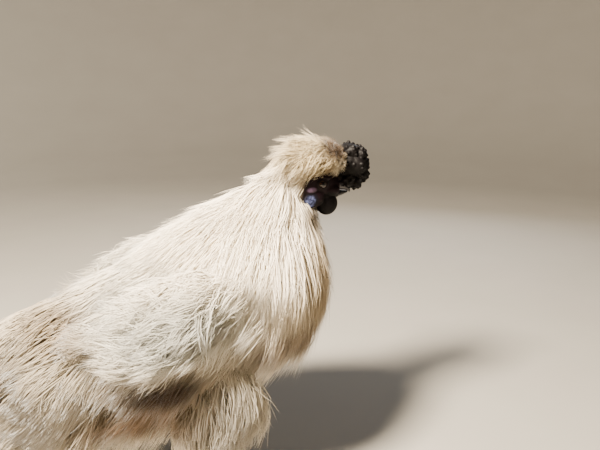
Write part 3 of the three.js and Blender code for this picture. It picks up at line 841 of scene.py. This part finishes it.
def grow_coat(
    name, form, count, stations, turns, length, width, seed, rings=3, lock=None, tress=None, bare=(), **lie
):
    """A piece of coat: strands gathered into locks, and locks into tresses. length and width are in
    millimetres, turns in degrees, and no strand enters the ellipsoids in bare."""
    lie = {**USUAL_LIE, **lie}
    lock = {**USUAL_LOCK, **(lock or {})}
    tress = {**USUAL_TRESS, **(tress or {})}
    rng = np.random.default_rng(seed)
    steps = np.linspace(0, 1, rings + 1)
    pull = (steps**PULL_POWER)[None, :, None]

    locks = max(count // lock["strands"], 1)
    tresses = max(locks // tress["locks"], 1)
    tress_u, tress_turn = scatter(form, tresses, stations, turns, rng)
    tress_length = length * rng.uniform(*LEADER_LENGTHS, tresses)
    tress_lift = rng.uniform(1 - lie["relief"], 1 + lie["relief"], tresses)
    tress_path, _ = walk(form, tress_u, tress_turn, lie, tress_length, tress_lift, steps, rng)

    of_tress, lock_u, lock_turn = followers(form, tress_u, tress_turn, locks, tress["spread"], rng)
    lock_length = tress_length[of_tress] * rng.uniform(*LEADER_LENGTHS, locks)
    lock_lift = rng.uniform(1 - lie["relief"], 1 + lie["relief"], locks)
    lock_path, _ = walk(form, lock_u, lock_turn, lie, lock_length, lock_lift, steps, rng)
    lock_path += (tress_path[of_tress] - lock_path) * tress["gather"] * pull

    of_lock, u, turn = followers(form, lock_u, lock_turn, count, lock["spread"], rng)
    own_length = lock_length[of_lock] * rng.uniform(*STRAND_LENGTHS, count)
    path, normals = walk(form, u, turn, lie, own_length, lock_lift[of_lock], steps, rng)
    drawn = np.where(rng.random(count) < lock["free"], FREE_GATHER, lock["gather"])[:, None, None]
    path += (lock_path[of_lock] - path) * drawn * pull
    wave = rng.normal(0, length * lock["wave"], (count, 2, 3))
    along = steps[None, :, None]
    path += wave[:, :1] * np.sin(along * WAVE_TURN) * along + wave[:, 1:] * along**2 * CURL

    low, high = np.array(stations, float), np.radians(turns)
    root_u = np.clip((u - low[0]) / (low[1] - low[0]), 0, 1)
    root_turn = np.clip((turn - high[0]) / (high[1] - high[0]), 0, 1)
    widths = width * rng.uniform(*WIDTHS, count)
    shade = LOCK_TONE * rng.random(locks)[of_lock] + STRAND_TONE * rng.random(count)
    kept = outside(path, bare)
    roots = np.stack([root_u, root_turn], axis=1)
    mesh = strand_mesh(name, path[kept], normals[kept], widths[kept], roots[kept], shade[kept])
    obj = bpy.data.objects.new(name, mesh)
    bpy.context.scene.collection.objects.link(obj)
    return obj


# %% [markdown]
# ## The coat, region by region
# Each region has its own length, lock width and lift. The cape on the neck is long and hangs freely,
# the saddle lies flatter, the tail plumes droop, and the wing's feathers end in loose strings. The
# crest runs the other way: it springs from the comb and sweeps back and down to the eyes.

# %% Cape, saddle, rear and tail
coat = {}
FACE = ((88, 0, 305), (25, 400, 20))
COMB = ((136, 0, 334), (21, 24, 28))
NAPE = ((12, 0, 354), (37, 400, 26))
SOFT = {"strands": 22, "spread": 4.6, "gather": 0.72, "free": 0.14, "wave": 0.03}
STRINGS = {"strands": 20, "spread": 2.4, "gather": 0.95, "free": 0.06, "wave": 0.04}
BROAD, LOOSE, UNTIED = {"spread": 12.0}, {"gather": 0.1}, {"gather": 0.0}


def cover(name, *where, **how):
    """Grows one more piece, named for its region. where is its form, number of strands, stations, turns,
    length, width and seed, and how is the way its strands lie and gather."""
    coat[name] = grow_coat(name, *where, **how)


def on_side(word, first, last):
    """A range of turns on one side of a form, in degrees from the top."""
    return (first, last) if word == "left" else (-last, -first)


for i, word in enumerate(SIDES):
    turns, flank, hem = on_side(word, -2, 182), on_side(word, 62, 162), on_side(word, 52, 142)
    cover(
        "cape_" + word, TRUNK, 6400, (-0.3, 2.7), turns, 92, 0.98, 11 + i, rings=4, bare=[FACE],
        lock=SOFT, tress={"locks": 12, "spread": 12.0, "gather": 0.6},
        rise=13, relief=0.5, flat=0.6, droop=5, hang=0.3, stray=8,
    )
    cover(
        "saddle_" + word, TRUNK, 4200, (2.3, 5.4), turns, 66, 1.2, 21 + i,
        lock=SOFT, tress=BROAD, rise=10, relief=0.6, flat=0.9, droop=3, hang=0.12, stray=14,
    )
    cover(
        "rear_" + word, TRUNK, 4200, (5.1, 7.9), turns, 76, 1.25, 31 + i,
        lock=SOFT, tress=BROAD, rise=11, relief=0.5, flat=0.4, droop=14, hang=0.35, stray=15,
    )
    cover(
        "tail_" + word, TRUNK, 3000, (7.6, 10.0), turns, 62, 1.25, 41 + i,
        rise=12, relief=0.2, droop=16, hang=0.25, stray=10,
    )
    cover(
        "flank_" + word, TRUNK, 1700, (2.2, 4.8), flank, 68, 1.2, 27 + i,
        lock=SOFT, rise=15, droop=8, hang=0.5, stray=12,
    )
    cover(
        "cape_hem_" + word, TRUNK, 1500, (1.0, 2.5), hem, 98, 1.0, 15 + i, rings=4, bare=[FACE],
        lock={"strands": 34, "spread": 4.2, "gather": 0.9, "free": 0.06, "wave": 0.03},
        tress=LOOSE, rise=24, relief=0.25, droop=6, hang=0.4, stray=12,
    )
cover(
    "tail_tuft", TRUNK, 900, (8.9, 9.95), (-180, 180), 44, 1.15, 45,
    tress={"spread": 5.0, "gather": 0.2}, rise=5, sunk=6, droop=10, hang=0.3, stray=14,
)
cover(
    "throat_cape", TRUNK, 1300, (0.3, 1.5), (138, 222), 64, 0.95, 18, rings=4, bare=[FACE],
    lock={"strands": 16, "spread": 3.4, "gather": 0.7}, rise=9, hang=0.2,
)
cover(
    "belly_fluff", TRUNK, 3000, (4.0, 9.4), (120, 240), 52, 1.25, 47,
    lock=SOFT, tress=BROAD, rise=24, droop=16, hang=0.4, stray=20,
)

# %% Wings and thighs
for i, word in enumerate(SIDES):
    out, under = on_side(word, 12, 168), on_side(word, 100, 150)
    cover(
        "wing_coverts_" + word, WING[word], 2600, (-0.2, 3.6), out, 46, 1.15, 51 + i,
        lock={"strands": 18, "spread": 3.0, "gather": 0.85},
        rise=13, relief=0.5, sunk=4, hang=0.12, stray=18,
    )
    cover(
        "wing_strings_" + word, WING[word], 2600, (1.3, 4.9), out, 54, 1.1, 56 + i, rings=4,
        lock=STRINGS, tress={"gather": 0.1, "spread": 12.0},
        rise=16, relief=0.5, sunk=4, hang=0.08, stray=20, droop=1,
    )
    cover(
        "wing_wisps_" + word, WING[word], 540, (2.6, 4.9), out, 50, 1.0, 88 + i, rings=4,
        lock={"strands": 12, "spread": 1.2, "gather": 0.97, "free": 0, "wave": 0.09},
        tress=UNTIED, rise=15, sunk=4, hang=0.15, stray=28,
    )
    cover(
        "wing_hem_" + word, WING[word], 1000, (0.7, 4.9), under, 36, 1.1, 58 + i,
        lock=STRINGS, tress=UNTIED, rise=8, sunk=4, hang=0.0, stray=22,
    )
    cover(
        "thigh_fluff_" + word, THIGH[word], 3800, (0.9, 4.9), (-180, 180), 58, 1.2, 61 + i,
        lock=SOFT, rise=17, relief=0.45, sunk=6, stray=18, hang=0.3,
    )

# %% Crest, face and feet
DOWNY = {"strands": 9, "spread": 1.6}
DOWNY_TRESS = {"locks": 4, "spread": 4.0}

cover(
    "crest_plume", CREST, 4400, (0.3, 4.95), (-125, 125), 38, 0.95, 71, rings=4, bare=[FACE, COMB, NAPE],
    lock={"strands": 12, "spread": 3.0, "gather": 0.7, "free": 0.2, "wave": 0.05},
    tress={"locks": 5, "spread": 6.0, "gather": 0.4},
    rise=10, relief=0.5, sunk=5, way=-1, hang=0.3, stray=24,
)
cover(
    "crest_wisps", CREST, 900, (1.0, 4.7), (-75, 75), 38, 0.85, 72, rings=4, bare=[COMB, NAPE],
    lock={"strands": 8, "spread": 1.4, "gather": 0.9, "wave": 0.05}, tress=UNTIED,
    rise=10, relief=0.2, sunk=5, way=-1, hang=0, stray=24, droop=3,
)
cover(
    "crest_sweep", CREST, 200, (2.0, 3.0), (-45, 15), 46, 0.85, 76, rings=4, bare=[COMB],
    lock={"strands": 25, "spread": 1.5, "gather": 0.9, "wave": 0.03}, tress=UNTIED,
    rise=19, climb=1.7, sunk=5, way=-1, hang=0, stray=7,
)
cover(
    "crest_brow", CREST, 2000, (4.3, 5.25), (-115, 115), 16, 0.8, 74, bare=[COMB],
    lock={"strands": 10, "spread": 1.8}, tress=LOOSE, rise=9, sunk=4, way=-1, hang=0.0, stray=28,
)
cover(
    "crest_front", CREST, 700, (5.1, 5.9), (-95, 95), 11, 0.8, 75, bare=[COMB],
    lock=DOWNY, tress=LOOSE, rise=8, sunk=4, way=-1, hang=0.1, stray=26,
)
cover(
    "brow_lappets", CREST, 320, (4.8, 5.6), (-112, 112), 25, 0.8, 79, bare=[COMB],
    lock={"strands": 14, "spread": 1.3, "gather": 0.9}, tress=LOOSE,
    rise=4, sunk=4, way=-1, hang=0.95,
)
cover(
    "crest_fringe", CREST, 800, (4.0, 4.9), (-118, 118), 28, 0.8, 73, bare=[COMB],
    lock={"strands": 10, "spread": 1.6}, tress={"locks": 3, "spread": 3.0},
    rise=4, sunk=4, way=-1, hang=0.95,
)
cover(
    "brow_down", HEAD, 1600, (0.6, 5.0), (-58, 58), 15, 0.8, 77, bare=[FACE, COMB],
    lock=DOWNY, tress=DOWNY_TRESS, rise=5, sunk=2, way=-1, hang=0.3, stray=14,
)
cover(
    "cheek_down", HEAD, 1500, (0.0, 2.0), (-180, 180), 22, 0.7, 81, bare=[FACE],
    lock=DOWNY, tress=DOWNY_TRESS, rise=6, sunk=2, way=-1, hang=0.6, stray=14,
)
cover(
    "throat_tuft", TRUNK, 600, (-0.2, 0.5), (138, 222), 30, 0.7, 83,
    lock={"strands": 10, "spread": 1.6, "gather": 0.9}, tress=LOOSE,
    rise=7, sunk=4, hang=0.8, stray=10,
)
for i, word in enumerate(SIDES):
    cover(
        "foot_feathers_" + word, SHANK[word], 1000, (0.2, 1.9), on_side(word, 20, 160), 34, 0.85, 91 + i,
        lock={"strands": 12, "spread": 2.0}, tress={"locks": 3, "spread": 4.0},
        rise=14, sunk=2, stray=12, hang=0,
    )
triangles = [len(piece.data.polygons) for piece in coat.values()]
print("coat:", len(coat), "pieces,", sum(triangles), "triangles; most in one:", max(triangles))

# %% [markdown]
# ## One set of markings and painted shade for skin and coat
# The colour is worked out from the place on the bird, so a strand and the skin under it always agree.
# A white silkie isn't paper white: its fluff is warm cream, stained straw yellow and brown at the crest
# by dust and feeding. Towards each strand's root it turns grey-brown, partly the down's own tone and
# partly painted shade of the coat's depth. The neck's front and the cape's lower part are partly
# stained and partly painted shade. Painted shadow lies under the wattles, the cape's hem and the wing
# and behind the wing's tips, and painted shade darkens the rear, the thigh, the wing, which is also
# painted a cooler grey, and the pinkish belly fluff. Each stain and each patch of painted shade is a
# soft ellipsoid.

# %% Ellipsoid masks and the plumage colour


def near(tree, at, centre, half, soft=0.35, strength=1.0):
    """1 inside an ellipsoid, fading to 0 outside it. centre and half are in millimetres."""
    away = add(tree, "ShaderNodeVectorMath", {"operation": "SUBTRACT"}, _0=at, _1=tuple(place(centre)))
    scale = tuple(1 / (h * MM) for h in half)
    scaled = add(tree, "ShaderNodeVectorMath", {"operation": "MULTIPLY"}, _0=away.outputs[0], _1=scale)
    far = add(tree, "ShaderNodeVectorMath", {"operation": "LENGTH"}, _0=scaled.outputs[0])
    mask = add(
        tree, "ShaderNodeMapRange", {"interpolation_type": "SMOOTHSTEP"}, Value=far.outputs["Value"],
        From_Min=1 - soft, From_Max=1 + soft, To_Min=strength, To_Max=0.0,
    )
    return mask.outputs[0]


# A mark this wide goes right through the bird, so it is the same on both sides.
WIDE = 400
STAIN_AND_SHADE_SOFT = 0.6


def plumage_colour(tree, at):
    """The coat's colour at a place on the bird: its own tone, stained parts, and painted shade and shadow.
    """
    colour = mix_colour(tree, noise(tree, at, 34, 3.0), "#fdf3df", "#efe3cc")
    stains_and_painted_shade = [
        ((78, 0, 348), (52, WIDE, 30), "#9d8758", 0.82),
        ((109, 0, 331), (8, WIDE, 11), "#efe3cc", 0.9),
        ((103, 0, 356), (20, WIDE, 15), "#3a2a18", 1.0),
        # Partly a straw stain and partly painted shade: the neck's front and the cape's lower part
        ((93, 0, 222), (38, WIDE, 50), "#a8906a", 0.7),
        ((50, 0, 190), (50, WIDE, 30), "#a08b68", 0.65),
        # Painted shadow under the cape's hem, on the low breast
        ((26, 0, 160), (54, WIDE, 22), "#6e5a43", 0.75),
        # Painted shade under the wattles, on the throat
        ((72, 0, 282), (18, 60, 15), "#4c3e2e", 0.9),
        # Painted shade over the rear and tail
        ((-230, 0, 140), (100, WIDE, 120), "#877c69", 0.85),
        # The wing's cooler grey tone, darkened further as painted shade
        ((-88, 0, 204), (72, WIDE, 40), "#a5a59d", 0.85),
        # Painted shadow under the wing
        ((-100, 0, 132), (60, 190, 29), "#3d2a19", 1.0),
        # Pinkish-brown belly fluff, darkened further as painted shade
        ((-116, 0, 92), (56, WIDE, 24), "#7a5d43", 0.85),
        # Painted shadow behind the wing's tips
        ((-184, 0, 196), (34, 96, 20), "#6a5a45", 0.85),
        # Painted shade on the thigh
        ((-38, 0, 84), (40, WIDE, 44), "#827a6b", 0.85),
    ]
    for centre, half, code, strength in stains_and_painted_shade:
        colour = mix_colour(tree, near(tree, at, centre, half, STAIN_AND_SHADE_SOFT, strength), colour, code)
    return colour


# %% Coat finish


def coat_material(name, root_code, root_share, sheen):
    """Silk that turns to a root colour towards each strand's root, grey-brown down and partly painted shade
    of the coat's depth, and varies from lock to lock.
    """
    material, tree = new_material(name)
    at = add(tree, "ShaderNodeTexCoord").outputs["Object"]
    colour = plumage_colour(tree, at)
    reach = add(tree, "ShaderNodeAttribute", {"attribute_name": "reach"}).outputs["Fac"]
    shade = add(tree, "ShaderNodeAttribute", {"attribute_name": "shade"}).outputs["Fac"]
    # Towards the root: grey-brown down, partly painted shade of the coat's depth
    depth = add(tree, "ShaderNodeMapRange", Value=reach, From_Max=0.55, To_Min=root_share, To_Max=0.0)
    colour = mix_colour(tree, depth.outputs[0], colour, root_code)
    tone = add(tree, "ShaderNodeMapRange", Value=shade, To_Min=0.84, To_Max=1.06)
    bright = add(tree, "ShaderNodeHueSaturation", Value=tone.outputs[0], Color=colour)
    silk = add(
        tree, "ShaderNodeBsdfPrincipled", Base_Color=bright.outputs[0], Roughness=0.75,
        Sheen_Weight=sheen, Sheen_Roughness=0.4, Specular_IOR_Level=0.2,
    )
    finish_material(tree, silk)
    return material


# The root colour #b3a283 is grey-brown down, and partly painted shade deep in the coat.
silky_plumage = coat_material("silky_plumage", "#b3a283", 0.55, 0.3)

# %% [markdown]
# ## Bare skin, black and slate
# A silkie's skin is black all through, with a mulberry cast on the face. Masks like those that paint
# the plumage's stain and its painted shade now lay out the bare parts: black comb and wattles, slate-blue
# earlobes under a lavender fold. The shanks turn slate below a height. A fine cell pattern and a bump
# node give the skin its grain.

# %% Skin finish
skin_finish, tree = new_material("skin_and_down")
at = add(tree, "ShaderNodeTexCoord").outputs["Object"]
# Under the coat the skin takes the plumage colour, with its painted shade, mixed towards a darker
# grey-brown.
down = colour = mix_colour(tree, 0.55, plumage_colour(tree, at), "#8d7c66")
crease = noise(tree, at, 3.2, 2.0, Distortion=0.8)
contrast = add(tree, "ShaderNodeMapRange", Value=crease, From_Min=0.4, From_Max=0.62)
lobe_blue = mix_colour(tree, contrast.outputs[0], "#1c1d30", "#4b5275")
# The bare face, the down under the crest, the wattles, the comb and the lids
patches = [
    ((95, 0, 308), (36, 44, 31), 0.1, 1.0, "#1b0f15"),
    ((70, 0, 353), (42, 40, 19), 0.08, 1.0, down),
    ((98, 0, 293), (19, 24, 19), 0.1, 1.0, "#070405"),
    ((134, 0, 336), (24, 30, 36), 0.1, 1.0, "#060404"),
    ((88, 0, 318), (10, 40, 8), 0.1, 0.9, "#120a0c"),
]
# The earlobe's dark surround, the earlobe and the fold over it
for sign in SIDES.values():
    patches += [
        ((74, sign * 20, 300.5), (9, 7, 9.5), 0.12, 1.0, "#131018"),
        ((73.5, sign * 21, 300.5), (5.6, 5, 6.0), 0.3, 1.0, lobe_blue),
        ((75.5, sign * 21, 312.6), (5.6, 5, 2.6), 0.4, 1.0, "#564558"),
    ]
for centre, half, soft, strength, code in patches:
    colour = mix_colour(tree, near(tree, at, centre, half, soft, strength), colour, code)
HOCK_FROM, HOCK_TO = 58 * MM, 64 * MM
height = add(tree, "ShaderNodeSeparateXYZ", Vector=at).outputs["Z"]
leg = add(
    tree, "ShaderNodeMapRange", Value=height, From_Min=HOCK_FROM, From_Max=HOCK_TO, To_Min=1.0, To_Max=0.0
)
slate = mix_colour(tree, noise(tree, at, 6, 4.0), "#2c2f36", "#474b54")
colour = mix_colour(tree, leg.outputs[0], colour, slate)
cells = add(tree, "ShaderNodeTexVoronoi", Vector=at, Scale=1 / (1.3 * MM))
fine = noise(tree, at, 2.5, 4.0)
grain = add(tree, "ShaderNodeMath", {"operation": "ADD"}, _0=cells.outputs["Distance"], _1=fine)
bump = add(tree, "ShaderNodeBump", Height=grain.outputs[0], Strength=0.35, Distance=0.35 * MM)
rough = add(tree, "ShaderNodeMapRange", Value=fine, To_Min=0.45, To_Max=0.7)
flesh = add(
    tree, "ShaderNodeBsdfPrincipled", Base_Color=colour, Roughness=rough.outputs[0],
    Normal=bump.outputs[0], Specular_IOR_Level=0.14,
)
finish_material(tree, flesh)

# %% Eye and horn finishes
eye_finish, tree = new_material("wet_dark_eye")
at = add(tree, "ShaderNodeTexCoord").outputs["Object"]
dark = near(tree, at, (88, 0, 318), (2.3, 60, 2.3), 0.08)
iris = mix_colour(tree, noise(tree, at, 0.8, 2.0), "#160d0a", "#2b1a12")
colour = mix_colour(tree, dark, iris, "#020202")
wet = add(tree, "ShaderNodeBsdfPrincipled", Base_Color=colour, Roughness=0.12, Coat_Weight=0.15)
finish_material(tree, wet)


def horn(name, light, dark, roughness):
    """Horn grows in layers, so its tone runs in faint streaks along X."""
    material, tree = new_material(name)
    at = add(tree, "ShaderNodeTexCoord").outputs["Object"]
    drawn_out = add(tree, "ShaderNodeMapping", Vector=at, Scale=(0.3, 1.0, 1.0))
    streaks = noise(tree, drawn_out.outputs[0], 1.6, 4.0)
    colour = mix_colour(tree, streaks, dark, light)
    bump = add(tree, "ShaderNodeBump", Height=streaks, Strength=0.3, Distance=0.15 * MM).outputs[0]
    shell = add(tree, "ShaderNodeBsdfPrincipled", Base_Color=colour, Roughness=roughness, Normal=bump)
    finish_material(tree, shell)
    return material


slate_horn = horn("slate_horn", "#3b3a3e", "#19181b", 0.32)
claw_horn = horn("claw_horn", "#8a7f70", "#564e45", 0.38)

# %% [markdown]
# ## Putting it together
# Every piece now gets its finish, and the parts of the solid model that it stands for are hidden. The
# bird has no joints, and all pieces ride on its one body.

# %% Finishes and places
flesh_nodes = ["head", "comb", "crest", "neck", "torso", "tail"]
for word in SIDES:
    flesh_nodes += [part + word for part in ("wattle_", "earlobe_", "wing_", "thigh_", "foot_")]
dress(skin, material=skin_finish)
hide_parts(*flesh_nodes)
for word, eye in eyes.items():
    dress(eye, material=eye_finish)
    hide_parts("eye_" + word)
for beak, node in ((upper_beak, "beak_upper"), (lower_beak, "beak_lower")):
    dress(beak, material=slate_horn)
    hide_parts(node)
for (word, toe), claw in claws.items():
    dress(claw, material=claw_horn)
    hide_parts("claw_" + word + "_" + toe)
for name, piece in coat.items():
    dress(piece, material=silky_plumage)
